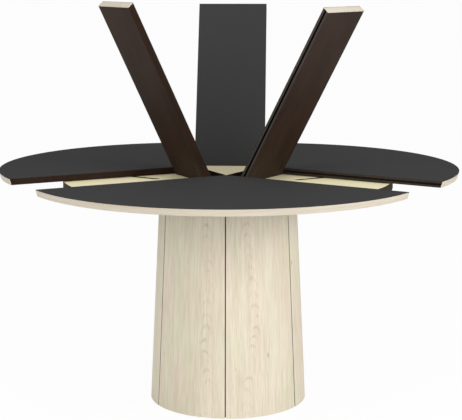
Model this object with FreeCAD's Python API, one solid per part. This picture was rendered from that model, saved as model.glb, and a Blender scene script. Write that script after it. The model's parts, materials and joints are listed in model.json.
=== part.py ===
import FreeCAD, Part
import math
import os

from FreeCAD import Vector

os.makedirs("parts", exist_ok=True)

# Swivel extending table, in millimetres. +Z is up and the origin is on the drum's axis at the floor.
# The top is drawn open: the middle of the front sector points along -Y, and a leaf stands in each gap.

# Top
TABLE_HEIGHT = 740.0
TOP_THICKNESS = 20.0
LAMINATE = 1.0
SECTOR_RADIUS = 612.0
SECTOR_OPENING = 135.0
SECTOR_SPREAD = 120.0
SECTOR_TURNS = {"front": 270.0, "right": 30.0, "left": 150.0}
EDGING = 2.0
EDGE_TAPER = 5.5
EDGE_GROOVE_WIDTH = 6.0
EDGE_GROOVE_DEPTH = 6.0

# Leaves, with their lean from upright
LEAF_TURNS = {"rear": 90.0, "left": 210.0, "right": 330.0}
LEAF_LEANS = {"rear": 29.5, "left": 25.6, "right": 28.6}
LEAF_SIDE_GAP = 0.5
LEAF_END_GAP = 0.5
HINGE_REACH = 135.0
HINGE_DROP = 7.5
HINGE_SETBACK = 14.0
ROD_RADIUS = 2.5
KNUCKLE_RADIUS = 4.2
EAR_SPACING = 20.0
CHANNEL_WIDTH = 12.0
CHANNEL_DEPTH = 7.0
CHANNEL_WALL = 1.2
CHANNEL_MOUTH = 3.2
CRADLE_START = 2.0
CRADLE_SPARE = 4.0
CRADLE_BAR = 3.0
CRADLE_GAP = 0.5

# Middle triangle and the spider that carries it
CENTRE_DROP = 24.0
POST_RADIUS = 12.0
POST_FLANGE_RADIUS = 35.0
POST_FLANGE = 4.0
HUB_WALL = 8.0
HUB_HEIGHT = 40.0
SPIDER_ARM_WIDTH = 24.0
SPIDER_ARM_HEIGHT = 12.0
SPIDER_UPRIGHT = 6.0
SPIDER_DEPTH = 12.0

# Carrier plate
GLIDE_GAP = 2.0
PLATE_INSET = 95.0
PLATE_THICKNESS = 28.0
PLATE_VENEER = 1.0
WELL_EDGE_GAP = 1.0
LIP_PLAY = 0.5
WELL_SIDE_GAP = 6.4
GUIDE_ALONG = 155.0
GUIDE_OFFSET = 172.0
GUIDE_PIN_RADIUS = 11.7
FOLLOWER_RADIUS = 7.0
FOLLOWER_MARGIN = 2.0
SLOT_PLAY = 0.3
PIN_FLANGE = 7.0
PIN_HEAD_RADIUS = 16.0
PIN_HEAD = 5.0
PIN_HEAD_GAP = 1.0
SPIGOT_RADIUS = 4.0
SPIGOT_LENGTH = 12.0

# Hinge brackets on the edge of the carrier plate's opening
BRACKET_SIDE = 20.0
BRACKET_THICKNESS = 8.0
BRACKET_PLATE = 3.0
BRACKET_WIDTH = 24.0
BRACKET_MARGIN = 1.0

# Turntable bearing and cam
RACE_MARGIN = 5.8
RACE_WIDTH = 34.0
RACE_THICKNESS = 6.0
RACE_SPACE = 4.0
BALL_RADIUS = 4.0
BALL_MARGIN = 24.0
BALL_COUNT = 36
RACE_SCREW_MARGIN = 7.0
CAM_THICKNESS = 8.0
CAM_BORDER = 16.0
CAM_LEAD = 2.0
CLAMP_TURN = 1.6
CAM_STEPS = 16

# Drum
DRUM_FOOT_RADIUS = 249.0
DRUM_TOP_RADIUS = 216.0
PANEL_THICKNESS = 18.0
PANEL_COUNT = 6
PANEL_LIFT = 2.0
SEAM_WIDTH = 3.0
SEAM_TURN = 0.4
BATTEN_THICKNESS = 16.0
BATTEN_SPREAD = 10.0
BASE_THICKNESS = 22.0
HEAD_HEIGHT = 28.0
HEAD_WIDTH = 14.0
GLUE_GAP = 0.2

# Screws: shank radius, head radius, head height and length
RACE_SCREW = (2.5, 4.2, 3.0, 24.0)
CAM_SCREW = (2.5, 4.2, 3.0, 24.0)
BRACKET_SCREW = (1.75, 3.2, 2.0, 20.0)
SPIDER_SCREW = (2.5, 4.5, 3.0, 26.0)
SCREW_PLAY = 0.1
RUNNING_PLAY = 0.05
OVERCUT = 1.0

# Levels and sizes that follow
TOP_UNDER = TABLE_HEIGHT - TOP_THICKNESS
FACE_UNDER = TABLE_HEIGHT - LAMINATE
PLATE_TOP = TOP_UNDER - GLIDE_GAP
PLATE_UNDER = PLATE_TOP - PLATE_THICKNESS
BEARING_HEIGHT = 2 * RACE_THICKNESS + RACE_SPACE
CAM_TOP = PLATE_UNDER - BEARING_HEIGHT
DRUM_TOP = CAM_TOP - CAM_THICKNESS
HALF_SPREAD = SECTOR_SPREAD / 2
CLAMP_TRAVEL = CLAMP_TURN * CAM_LEAD
CLAMPED_OPENING = SECTOR_OPENING - CLAMP_TRAVEL
LEAF_WIDTH = 2 * (CLAMPED_OPENING * math.sin(math.radians(HALF_SPREAD)) - LEAF_SIDE_GAP)
LEAF_INNER = CLAMPED_OPENING * math.cos(math.radians(HALF_SPREAD))
LEAF_LENGTH = SECTOR_RADIUS
CORE_RADIUS = SECTOR_RADIUS - EDGING
CORE_LENGTH = LEAF_LENGTH - EDGING
PLATE_RADIUS = SECTOR_RADIUS - PLATE_INSET
CENTRE_REACH = LEAF_INNER - LEAF_END_GAP
LEAF_DRAW = HINGE_REACH - HINGE_SETBACK - LEAF_INNER
HINGE_HEIGHT = TOP_UNDER - HINGE_DROP
WELL_REACH = HINGE_REACH + KNUCKLE_RADIUS + WELL_EDGE_GAP
WELL_HALF_LENGTH = LEAF_WIDTH / 2 + WELL_SIDE_GAP
LIP_REACH = HINGE_REACH - math.sqrt((HINGE_DROP - LIP_PLAY) ** 2 - (PLATE_TOP - HINGE_HEIGHT) ** 2)
WELL_SHORT_REACH = (WELL_REACH * math.cos(math.radians(HALF_SPREAD))
                    + WELL_HALF_LENGTH * math.sin(math.radians(HALF_SPREAD)))
BRACKET_OFFSET = WELL_HALF_LENGTH - BRACKET_SIDE
EAR_OFFSET = BRACKET_OFFSET - EAR_SPACING
RACE_INNER = WELL_SHORT_REACH + RACE_MARGIN
RACE_OUTER = RACE_INNER + RACE_WIDTH
BALL_TRACK = RACE_INNER + BALL_MARGIN
RACE_SCREW_CIRCLE = RACE_INNER + RACE_SCREW_MARGIN
HEAD_OUTER = DRUM_TOP_RADIUS - PANEL_THICKNESS - GLUE_GAP
HEAD_INNER = HEAD_OUTER - HEAD_WIDTH
FOLLOWER_ALONG = RACE_OUTER + FOLLOWER_RADIUS + FOLLOWER_MARGIN
CRADLE_END = HINGE_SETBACK + WELL_REACH - WELL_EDGE_GAP / 2 - HINGE_REACH
STEM_END = HINGE_SETBACK + LIP_REACH - LIP_PLAY - HINGE_REACH
RAIL_LENGTH = CRADLE_END + LEAF_DRAW + CRADLE_SPARE

UP = Vector(0, 0, 1)
OUTWARD = Vector(1, 0, 0)
ACROSS = Vector(0, 1, 0)
ORIGIN = Vector(0, 0, 0)


def save(shape, name):
    shape.exportStep("parts/" + name + ".step")


def prism(points, bottom, top):
    """Upright prism over a plan outline."""
    corners = [Vector(x, y, bottom) for x, y in points]
    return Part.Face(Part.makePolygon(corners + corners[:1])).extrude(UP * (top - bottom))


def block(x_range, y_range, z_range):
    size = [high - low for low, high in (x_range, y_range, z_range)]
    return Part.makeBox(*size, Vector(x_range[0], y_range[0], z_range[0]))


def rod(radius, start, end):
    """Round bar between two points."""
    return Part.makeCylinder(radius, (end - start).Length, start, end - start)


def disc(radius, bottom, top, x=0.0, y=0.0):
    return Part.makeCylinder(radius, top - bottom, Vector(x, y, bottom))


def ring(inner, outer, bottom, top):
    return disc(outer, bottom, top).cut(disc(inner, bottom, top))


def turned(shape, angle):
    """Copy turned about the drum's axis."""
    copy = shape.copy()
    copy.rotate(ORIGIN, UP, angle)
    return copy


def around(shape, angles):
    return [turned(shape, angle) for angle in angles]


def polar(radius, angle):
    return radius * math.cos(math.radians(angle)), radius * math.sin(math.radians(angle))


def revolved(profile, start, sweep):
    """Solid turned about the drum's axis from a profile of (radius, height) points."""
    corners = [Vector(radius, 0, height) for radius, height in profile]
    face = Part.Face(Part.makePolygon(corners + corners[:1]))
    return turned(face.revolve(ORIGIN, UP, sweep), start)


def screw(sizes, seat, direction):
    """Screw whose head sits on the seat point and whose shank runs along the direction."""
    shank_radius, head_radius, head_height, length = sizes
    head = rod(head_radius, seat - direction * head_height, seat)
    return head.fuse(rod(shank_radius, seat, seat + direction * length)).removeSplitter()


def screw_hole(sizes, seat, direction):
    shank_radius, head_radius, head_height, length = sizes
    head = rod(head_radius + SCREW_PLAY, seat - direction * (head_height + OVERCUT), seat)
    shank = rod(shank_radius + SCREW_PLAY, seat, seat + direction * (length + SCREW_PLAY))
    return head.fuse(shank)


def straight_slot(half_width, start, end, bottom, top):
    """Round-ended slot along +X between two (x, y) centres."""
    middle = block((start[0], end[0]), (start[1] - half_width, start[1] + half_width), (bottom, top))
    ends = [disc(half_width, bottom, top, x, y) for x, y in (start, end)]
    return middle.multiFuse(ends)


# Drum


def drum_radius(height):
    return DRUM_FOOT_RADIUS + (DRUM_TOP_RADIUS - DRUM_FOOT_RADIUS) * height / DRUM_TOP


def drum_shell(outer_inset, thickness, bottom, top, start, sweep):
    """Conical shell that follows the drum's side, set in from its outer face."""
    profile = []
    for height, inset in ((bottom, outer_inset), (top, outer_inset),
                          (top, outer_inset + thickness), (bottom, outer_inset + thickness)):
        profile.append((drum_radius(height) - inset, height))
    return revolved(profile, start, sweep)


PANEL_PITCH = 360.0 / PANEL_COUNT
SEAM_ANGLES = [SECTOR_TURNS["front"] + SEAM_TURN + PANEL_PITCH * step for step in range(PANEL_COUNT)]
seam_cutter = block((0, 2 * DRUM_FOOT_RADIUS), (-SEAM_WIDTH / 2, SEAM_WIDTH / 2), (0, DRUM_TOP))
for number, seam in enumerate(SEAM_ANGLES, 1):
    panel = drum_shell(0, PANEL_THICKNESS, PANEL_LIFT, DRUM_TOP, seam, PANEL_PITCH)
    panel = panel.cut(turned(seam_cutter, seam)).cut(turned(seam_cutter, seam + PANEL_PITCH))
    save(panel, "drum_panel_%d" % number)

BATTEN_TOP = DRUM_TOP - HEAD_HEIGHT
battens = [drum_shell(PANEL_THICKNESS + GLUE_GAP, BATTEN_THICKNESS, BASE_THICKNESS, BATTEN_TOP,
                      seam - BATTEN_SPREAD / 2, BATTEN_SPREAD) for seam in SEAM_ANGLES]
save(Part.Compound(battens), "seam_battens")

BASE_RADIUS = drum_radius(BASE_THICKNESS) - PANEL_THICKNESS - GLUE_GAP
save(disc(BASE_RADIUS, 0, BASE_THICKNESS), "base_disc")

# Turntable bearing: races, balls and the screws that hold them; the lower race sits on the cam plate

LOWER_RACE_TOP = CAM_TOP + RACE_THICKNESS
UPPER_RACE_UNDER = PLATE_UNDER - RACE_THICKNESS
BALL_LEVEL = (LOWER_RACE_TOP + UPPER_RACE_UNDER) / 2
RACE_SCREW_ANGLES = [SECTOR_TURNS["front"] + 60.0 * step for step in range(6)]
HEAD_SINK = RACE_SCREW[2] + SLOT_PLAY
LOWER_SCREW = RACE_SCREW[:3] + (RACE_THICKNESS - HEAD_SINK + CAM_THICKNESS - SLOT_PLAY,)

lower_seat = Vector(RACE_SCREW_CIRCLE, 0, LOWER_RACE_TOP - HEAD_SINK)
upper_seat = Vector(RACE_SCREW_CIRCLE, 0, UPPER_RACE_UNDER + HEAD_SINK)
lower_holes = around(screw_hole(LOWER_SCREW, lower_seat, -UP), RACE_SCREW_ANGLES)
upper_holes = around(screw_hole(RACE_SCREW, upper_seat, UP), RACE_SCREW_ANGLES)
ball_groove = Part.makeTorus(BALL_TRACK, BALL_RADIUS + SLOT_PLAY, Vector(0, 0, BALL_LEVEL))

lower_race = ring(RACE_INNER, RACE_OUTER, CAM_TOP, LOWER_RACE_TOP).cut(ball_groove)
save(lower_race.cut(Part.Compound(lower_holes)), "lower_race")
upper_race = ring(RACE_INNER, RACE_OUTER, UPPER_RACE_UNDER, PLATE_UNDER).cut(ball_groove)
save(upper_race.cut(Part.Compound(upper_holes)), "upper_race")
save(Part.Compound(around(screw(LOWER_SCREW, lower_seat, -UP), RACE_SCREW_ANGLES)), "lower_race_screws")
save(Part.Compound(around(screw(RACE_SCREW, upper_seat, UP), RACE_SCREW_ANGLES)), "upper_race_screws")

ball = Part.makeSphere(BALL_RADIUS, Vector(BALL_TRACK, 0, BALL_LEVEL))
save(Part.Compound(around(ball, [360.0 * step / BALL_COUNT for step in range(BALL_COUNT)])), "bearing_balls")

# Drum head and the cam plate that is screwed down on it, with one spiral slot for each sector's follower

head_foot = drum_radius(BATTEN_TOP) - PANEL_THICKNESS - GLUE_GAP
head_profile = [(HEAD_INNER, BATTEN_TOP), (head_foot, BATTEN_TOP),
                (HEAD_OUTER, DRUM_TOP), (HEAD_INNER, DRUM_TOP)]
CAM_SCREW_ANGLES = [angle + 30.0 for angle in RACE_SCREW_ANGLES]
cam_seat = Vector((HEAD_INNER + HEAD_OUTER) / 2, 0, CAM_TOP - CAM_SCREW[2] - SLOT_PLAY)
cam_screw_holes = Part.Compound(around(screw_hole(CAM_SCREW, cam_seat, -UP), CAM_SCREW_ANGLES))
save(revolved(head_profile, 0, 360).cut(cam_screw_holes), "drum_head")
save(Part.Compound(around(screw(CAM_SCREW, cam_seat, -UP), CAM_SCREW_ANGLES)), "cam_screws")

FOLLOWER_OPEN = FOLLOWER_ALONG + SECTOR_OPENING
CAM_SWEEP = SECTOR_OPENING / CAM_LEAD
CAM_RADIUS = FOLLOWER_OPEN + FOLLOWER_RADIUS + SLOT_PLAY + CAM_BORDER


def spiral_point(turn, offset, height):
    """Point beside the follower's path after a turn in degrees; a positive offset lies outside the path."""
    radius = FOLLOWER_OPEN - CAM_LEAD * turn
    slope = math.degrees(math.atan2(math.degrees(CAM_LEAD), radius))
    x, y = polar(radius, turn)
    shift_x, shift_y = polar(offset, turn + slope)
    return Vector(x + shift_x, y + shift_y, height)


def spiral_edge(offset, height):
    turns = [CAM_SWEEP * step / CAM_STEPS for step in range(CAM_STEPS + 1)]
    curve = Part.BSplineCurve()
    curve.interpolate([spiral_point(turn, offset, height) for turn in turns])
    return curve.toShape()


def spiral_slot(half_width, bottom, top):
    outer = spiral_edge(half_width, bottom)
    inner = spiral_edge(-half_width, bottom)
    ends = []
    rounds = []
    for turn in (0, CAM_SWEEP):
        sides = [spiral_point(turn, offset, bottom) for offset in (half_width, -half_width)]
        ends.append(Part.makeLine(*sides))
        centre = spiral_point(turn, 0, bottom)
        rounds.append(disc(half_width, bottom, top, centre.x, centre.y))
    outline = Part.Wire(Part.__sortEdges__([outer, ends[1], inner, ends[0]]))
    return Part.Face(outline).extrude(UP * (top - bottom)).multiFuse(rounds)


cam_holes = Part.Compound(lower_holes + [cam_screw_holes])
cam_plate = ring(HEAD_INNER, CAM_RADIUS, DRUM_TOP, CAM_TOP).cut(cam_holes)
cam_slot = spiral_slot(FOLLOWER_RADIUS + SLOT_PLAY, DRUM_TOP - OVERCUT, CAM_TOP + OVERCUT)
for sector_turn in SECTOR_TURNS.values():
    cam_plate = cam_plate.cut(turned(cam_slot, sector_turn))
save(cam_plate, "cam_plate")

# Hinge brackets and rods, made for a gap that points along +X

rod_half_length = BRACKET_OFFSET + BRACKET_THICKNESS / 2
hinge_rod = rod(ROD_RADIUS, Vector(HINGE_REACH, -rod_half_length, HINGE_HEIGHT),
                Vector(HINGE_REACH, rod_half_length, HINGE_HEIGHT))


def hinge_bracket(side):
    """Knuckle on a plate that is screwed to the edge of the opening."""
    middle = side * BRACKET_OFFSET
    y_range = (middle - BRACKET_THICKNESS / 2, middle + BRACKET_THICKNESS / 2)
    knuckle = rod(KNUCKLE_RADIUS, Vector(HINGE_REACH, y_range[0], HINGE_HEIGHT),
                  Vector(HINGE_REACH, y_range[1], HINGE_HEIGHT))
    half_plate = BRACKET_WIDTH / 2
    bottom = PLATE_UNDER + BRACKET_MARGIN
    top = PLATE_TOP - BRACKET_MARGIN
    arm = block((HINGE_REACH, WELL_REACH), y_range, (HINGE_HEIGHT - KNUCKLE_RADIUS, top))
    plate = block((WELL_REACH - BRACKET_PLATE, WELL_REACH),
                  (middle - half_plate, middle + half_plate), (bottom, top))
    return knuckle.multiFuse([arm, plate]).cut(hinge_rod).removeSplitter()


def bracket_screw_seats():
    height = PLATE_UNDER + PLATE_THICKNESS / 3
    spread = BRACKET_WIDTH / 2 - BRACKET_SCREW[1] - BRACKET_MARGIN
    return [Vector(WELL_REACH - BRACKET_PLATE, side * BRACKET_OFFSET + end * spread, height)
            for side in (-1, 1) for end in (-1, 1)]


gap_screws = Part.Compound([screw(BRACKET_SCREW, seat, OUTWARD) for seat in bracket_screw_seats()])
gap_screw_holes = Part.Compound([screw_hole(BRACKET_SCREW, seat, OUTWARD) for seat in bracket_screw_seats()])
gap_brackets = Part.Compound([hinge_bracket(side).cut(gap_screw_holes) for side in (-1, 1)])
save(Part.Compound(around(gap_brackets, LEAF_TURNS.values())), "hinge_brackets")
save(Part.Compound(around(gap_screws, LEAF_TURNS.values())), "bracket_screws")
save(Part.Compound(around(hinge_rod, LEAF_TURNS.values())), "hinge_rods")

# Spider that hangs in the opening and guides the post of the middle triangle

SPIDER_UNDER = PLATE_UNDER - SPIDER_DEPTH
SPIDER_TOP = PLATE_TOP - BRACKET_MARGIN
HUB_TOP = SPIDER_UNDER + SPIDER_ARM_HEIGHT
half_arm = SPIDER_ARM_WIDTH / 2
spider_arm = block((POST_RADIUS, WELL_SHORT_REACH), (-half_arm, half_arm), (SPIDER_UNDER, HUB_TOP))
spider_upright = block((WELL_SHORT_REACH - SPIDER_UPRIGHT, WELL_SHORT_REACH), (-half_arm, half_arm),
                       (SPIDER_UNDER, SPIDER_TOP))
plate_middle = (PLATE_TOP + PLATE_UNDER) / 2
spider_screw_seats = [Vector(WELL_SHORT_REACH - SPIDER_UPRIGHT, side * half_arm / 2, plate_middle)
                      for side in (-1, 1)]
arm_screws = Part.Compound([screw(SPIDER_SCREW, seat, OUTWARD) for seat in spider_screw_seats])
arm_screw_holes = Part.Compound([screw_hole(SPIDER_SCREW, seat, OUTWARD) for seat in spider_screw_seats])
hub = disc(POST_RADIUS + HUB_WALL, HUB_TOP - HUB_HEIGHT, HUB_TOP)
spider = hub.multiFuse(around(spider_arm.fuse(spider_upright).cut(arm_screw_holes), SECTOR_TURNS.values()))
hub_bore = disc(POST_RADIUS + RUNNING_PLAY, HUB_TOP - HUB_HEIGHT - OVERCUT, HUB_TOP + OVERCUT)
save(spider.removeSplitter().cut(hub_bore), "centre_spider")
save(Part.Compound(around(arm_screws, SECTOR_TURNS.values())), "spider_screws")

# Carrier plate: round, with a six-sided opening, guide slots and follower slots. Its veneer reaches over the
# hinge rods as a lip, as far as the swinging underside of a leaf leaves room


def well_corners(side_reach):
    """Corners of the opening, with its sides below the leaves at this distance from the drum's axis."""
    corner_reach = math.hypot(side_reach, WELL_HALF_LENGTH)
    half_angle = math.degrees(math.atan2(WELL_HALF_LENGTH, side_reach))
    corners = []
    for gap_turn in sorted(LEAF_TURNS.values()):
        corners += [polar(corner_reach, gap_turn - half_angle), polar(corner_reach, gap_turn + half_angle)]
    return corners


def sector_slots(bottom, top):
    """Slots below one sector whose middle points along +X."""
    follower_half_width = FOLLOWER_RADIUS + SLOT_PLAY
    slots = [straight_slot(follower_half_width, (FOLLOWER_ALONG, 0), (FOLLOWER_OPEN, 0), bottom, top)]
    for offset in (-GUIDE_OFFSET, GUIDE_OFFSET):
        slots.append(straight_slot(GUIDE_PIN_RADIUS + SLOT_PLAY, (GUIDE_ALONG, offset),
                                   (GUIDE_ALONG + SECTOR_OPENING, offset), bottom, top))
    return Part.Compound(slots)


def plate_layer(side_reach, bottom, top):
    well = prism(well_corners(side_reach), bottom - OVERCUT, top + OVERCUT)
    layer = disc(PLATE_RADIUS, bottom, top).cut(well)
    slots = sector_slots(bottom - OVERCUT, top + OVERCUT)
    return layer.cut(Part.Compound(around(slots, SECTOR_TURNS.values())))


sub_plate = plate_layer(WELL_REACH, PLATE_UNDER, PLATE_TOP - PLATE_VENEER).cut(Part.Compound(upper_holes))
sub_plate = sub_plate.cut(Part.Compound(around(gap_screw_holes, LEAF_TURNS.values())))
sub_plate = sub_plate.cut(Part.Compound(around(arm_screw_holes, SECTOR_TURNS.values())))
save(sub_plate, "sub_plate")
save(plate_layer(LIP_REACH, PLATE_TOP - PLATE_VENEER, PLATE_TOP), "sub_plate_veneer")

# Middle triangle, its corners between the tips of the sectors

centre_corner_reach = CENTRE_REACH / math.cos(math.radians(HALF_SPREAD))
centre_corners = [polar(centre_corner_reach, turn) for turn in SECTOR_TURNS.values()]
post_bottom = HUB_TOP - HUB_HEIGHT - SPIGOT_LENGTH
save(prism(centre_corners, TOP_UNDER, FACE_UNDER), "centre_board")
save(prism(centre_corners, FACE_UNDER, TABLE_HEIGHT), "centre_veneer")
centre_post = disc(POST_RADIUS, post_bottom, TOP_UNDER)
centre_flange = disc(POST_FLANGE_RADIUS, TOP_UNDER - POST_FLANGE, TOP_UNDER)
save(centre_post.fuse(centre_flange).removeSplitter(), "centre_post")

# Sectors, made closed with the tip at the origin and the middle along +X


def sector_plan(radius, bottom, top):
    corner_x, corner_y = polar(radius, HALF_SPREAD)
    tip = Vector(0, 0, bottom)
    left = Vector(corner_x, corner_y, bottom)
    right = Vector(corner_x, -corner_y, bottom)
    arc = Part.Arc(right, Vector(radius, 0, bottom), left).toShape()
    outline = Part.Wire([Part.makeLine(tip, right), arc, Part.makeLine(left, tip)])
    return Part.Face(outline).extrude(UP * (top - bottom))


EDGE_GROOVE_LEVEL = (TOP_UNDER + FACE_UNDER) / 2


def edge_groove(length):
    """Bar that cuts the groove along an edge on the X axis."""
    half = EDGE_GROOVE_WIDTH / 2
    return block((-OVERCUT, length + OVERCUT), (-EDGE_GROOVE_DEPTH, EDGE_GROOVE_DEPTH),
                 (EDGE_GROOVE_LEVEL - half, EDGE_GROOVE_LEVEL + half))


sector_groove = turned(edge_groove(SECTOR_RADIUS), -HALF_SPREAD)


def pin(shank_radius, x, y, bottom):
    """Pin with a flange that glides on the carrier plate and a spigot in the sector board."""
    shank = disc(shank_radius, bottom, TOP_UNDER, x, y)
    flange = disc(shank_radius + PIN_FLANGE, PLATE_TOP, TOP_UNDER, x, y)
    spigot = disc(SPIGOT_RADIUS, TOP_UNDER, TOP_UNDER + SPIGOT_LENGTH, x, y)
    return shank.multiFuse([flange, spigot])


def guide_pin(side):
    bottom = PLATE_UNDER - PIN_HEAD_GAP - PIN_HEAD
    head = disc(PIN_HEAD_RADIUS, bottom, bottom + PIN_HEAD, GUIDE_ALONG, side * GUIDE_OFFSET)
    return pin(GUIDE_PIN_RADIUS, GUIDE_ALONG, side * GUIDE_OFFSET, bottom).fuse(head).removeSplitter()


pin_places = [(GUIDE_ALONG, GUIDE_OFFSET), (GUIDE_ALONG, -GUIDE_OFFSET), (FOLLOWER_ALONG, 0)]
spigot_hole_top = TOP_UNDER + SPIGOT_LENGTH + SCREW_PLAY
spigot_holes = [disc(SPIGOT_RADIUS + SCREW_PLAY, TOP_UNDER - OVERCUT, spigot_hole_top, x, y)
                for x, y in pin_places]
board_cuts = Part.Compound([sector_groove] + spigot_holes)
core_cone = Part.makeCone(CORE_RADIUS - EDGE_TAPER, CORE_RADIUS, FACE_UNDER - TOP_UNDER, UP * TOP_UNDER)
rim_profile = [(CORE_RADIUS - EDGE_TAPER, TOP_UNDER), (SECTOR_RADIUS - EDGE_TAPER, TOP_UNDER),
               (SECTOR_RADIUS, FACE_UNDER), (CORE_RADIUS, FACE_UNDER)]
sector_parts = {
    "board": sector_plan(SECTOR_RADIUS, TOP_UNDER, FACE_UNDER).common(core_cone).cut(board_cuts),
    "laminate": sector_plan(SECTOR_RADIUS, FACE_UNDER, TABLE_HEIGHT),
    "rim": revolved(rim_profile, -HALF_SPREAD, SECTOR_SPREAD),
    "guide_pins": Part.Compound([guide_pin(side) for side in (-1, 1)]),
    "follower": pin(FOLLOWER_RADIUS, FOLLOWER_ALONG, 0, DRUM_TOP).removeSplitter(),
}
for sector, sector_turn in SECTOR_TURNS.items():
    for part, shape in sector_parts.items():
        opened = shape.copy()
        opened.translate(OUTWARD * SECTOR_OPENING)
        save(turned(opened, sector_turn), "sector_%s_%s" % (sector, part))

# Leaves and cradles, made flat along +X: the inner end at x = 0, the underside at z = 0, the rod below it

LEAF_BOARD = TOP_THICKNESS - LAMINATE
half_leaf = LEAF_WIDTH / 2
pivot = Vector(HINGE_SETBACK, 0, -HINGE_DROP)


def channel(offset):
    """Channel rail let into the underside, its mouth level with the board."""
    half = CHANNEL_WIDTH / 2
    inner_half = half - CHANNEL_WALL
    mouth_half = CHANNEL_MOUTH / 2
    through = (-OVERCUT, RAIL_LENGTH + OVERCUT)
    outside = block((0, RAIL_LENGTH), (offset - half, offset + half), (0, CHANNEL_DEPTH))
    inside = block(through, (offset - inner_half, offset + inner_half),
                   (CHANNEL_WALL, CHANNEL_DEPTH - CHANNEL_WALL))
    mouth = block(through, (offset - mouth_half, offset + mouth_half), (-OVERCUT, CHANNEL_DEPTH / 2))
    return outside.cut(inside.fuse(mouth))


def cradle_ear(offset):
    """Ear on the rod: an arm below the lip, a stem inside of it, and a runner inside the channel."""
    neck = CHANNEL_MOUTH / 2 - SLOT_PLAY
    runner = CHANNEL_WIDTH / 2 - CHANNEL_WALL - SLOT_PLAY
    knuckle = rod(KNUCKLE_RADIUS, pivot + ACROSS * (offset - neck), pivot + ACROSS * (offset + neck))
    y_range = (offset - neck, offset + neck)
    under = -HINGE_DROP - KNUCKLE_RADIUS
    arm = block((CRADLE_START, HINGE_SETBACK), y_range, (under, -HINGE_DROP))
    stem = block((CRADLE_START, STEM_END), y_range, (under, CHANNEL_DEPTH / 2))
    head = block((CRADLE_START, CRADLE_END), (offset - runner, offset + runner),
                 (CHANNEL_WALL + SLOT_PLAY, CHANNEL_DEPTH - CHANNEL_WALL - SLOT_PLAY))
    return knuckle.multiFuse([arm, stem, head])


def cradle():
    bar_under = -CRADLE_GAP - CRADLE_BAR
    bar = block((CRADLE_START, STEM_END), (-EAR_OFFSET, EAR_OFFSET), (bar_under, -CRADLE_GAP))
    bore = rod(ROD_RADIUS + RUNNING_PLAY, pivot - ACROSS * half_leaf, pivot + ACROSS * half_leaf)
    return bar.multiFuse([cradle_ear(-EAR_OFFSET), cradle_ear(EAR_OFFSET)]).removeSplitter().cut(bore)


def leaf_slab(profile):
    """Slab over the whole width of the leaf, from an outline of (length, height) points."""
    corners = [Vector(x, -half_leaf, z) for x, z in profile]
    return Part.Face(Part.makePolygon(corners + corners[:1])).extrude(ACROSS * LEAF_WIDTH)


def leaf_board():
    board = leaf_slab([(0, 0), (CORE_LENGTH - EDGE_TAPER, 0), (CORE_LENGTH, LEAF_BOARD), (0, LEAF_BOARD)])
    half = CHANNEL_WIDTH / 2
    for offset in (-EAR_OFFSET, EAR_OFFSET):
        seat = block((-OVERCUT, RAIL_LENGTH), (offset - half, offset + half), (-OVERCUT, CHANNEL_DEPTH))
        board = board.cut(seat)
    return board.cut(leaf_groove)


leaf_groove = edge_groove(LEAF_LENGTH)
leaf_groove.translate(-UP * TOP_UNDER - ACROSS * half_leaf)
end_profile = [(CORE_LENGTH - EDGE_TAPER, 0), (LEAF_LENGTH - EDGE_TAPER, 0),
               (LEAF_LENGTH, LEAF_BOARD), (CORE_LENGTH, LEAF_BOARD)]
leaf_parts = {
    "board": leaf_board(),
    "laminate": block((0, LEAF_LENGTH), (-half_leaf, half_leaf), (LEAF_BOARD, TOP_THICKNESS)),
    "end_band": leaf_slab(end_profile),
    "rails": Part.Compound([channel(side * EAR_OFFSET) for side in (-1, 1)]),
    "cradle": cradle(),
}
for leaf, leaf_turn in LEAF_TURNS.items():
    for part, shape in leaf_parts.items():
        raised = shape.copy()
        raised.translate(-pivot)
        raised.rotate(ORIGIN, ACROSS, LEAF_LEANS[leaf] - 90)
        raised.translate(Vector(HINGE_REACH, 0, HINGE_HEIGHT))
        save(turned(raised, leaf_turn), "leaf_%s_%s" % (leaf, part))
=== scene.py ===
# %% [markdown]
# # Swivel extending table
# A round dining table on a drum, drawn open: three black sectors have slid apart, a leaf stands in each
# gap and a small triangle fills the middle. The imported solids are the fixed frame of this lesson. We
# measure them, model each board afresh with eased edges, and give every surface the finish of the real
# material.

# %% Load the frame
import json
import math

import bmesh
import bpy
from mathutils import Matrix, Vector


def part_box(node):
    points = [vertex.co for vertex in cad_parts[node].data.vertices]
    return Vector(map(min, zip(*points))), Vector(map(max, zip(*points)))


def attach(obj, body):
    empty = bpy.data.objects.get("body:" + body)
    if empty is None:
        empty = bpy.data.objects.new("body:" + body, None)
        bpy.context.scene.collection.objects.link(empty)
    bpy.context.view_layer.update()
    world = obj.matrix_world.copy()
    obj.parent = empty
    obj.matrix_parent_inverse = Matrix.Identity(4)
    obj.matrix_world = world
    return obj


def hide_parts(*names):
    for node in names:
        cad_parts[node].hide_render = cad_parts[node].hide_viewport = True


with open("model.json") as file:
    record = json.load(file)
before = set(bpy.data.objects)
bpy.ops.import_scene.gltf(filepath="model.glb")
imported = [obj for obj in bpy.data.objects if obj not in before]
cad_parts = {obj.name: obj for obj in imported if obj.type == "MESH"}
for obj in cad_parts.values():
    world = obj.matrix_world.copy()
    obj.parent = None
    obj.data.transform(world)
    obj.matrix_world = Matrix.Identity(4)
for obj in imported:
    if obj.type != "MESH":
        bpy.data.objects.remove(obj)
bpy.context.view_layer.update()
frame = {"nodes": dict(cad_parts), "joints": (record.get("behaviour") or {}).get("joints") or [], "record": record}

MM = 0.001

# %% [markdown]
# ## Measuring the frame
# A leaf leans and a sector points its own way, so each gets a frame of its own: X runs along the piece, Y
# across it and Z out of its black face. The joints in the record say where these frames are. `span` then
# gives the box that a solid fills in such a frame, so no size has to be typed twice.

# %% Points and boxes of a solid


def points(node):
    return [vertex.co for vertex in frame["nodes"][node].data.vertices]


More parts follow.
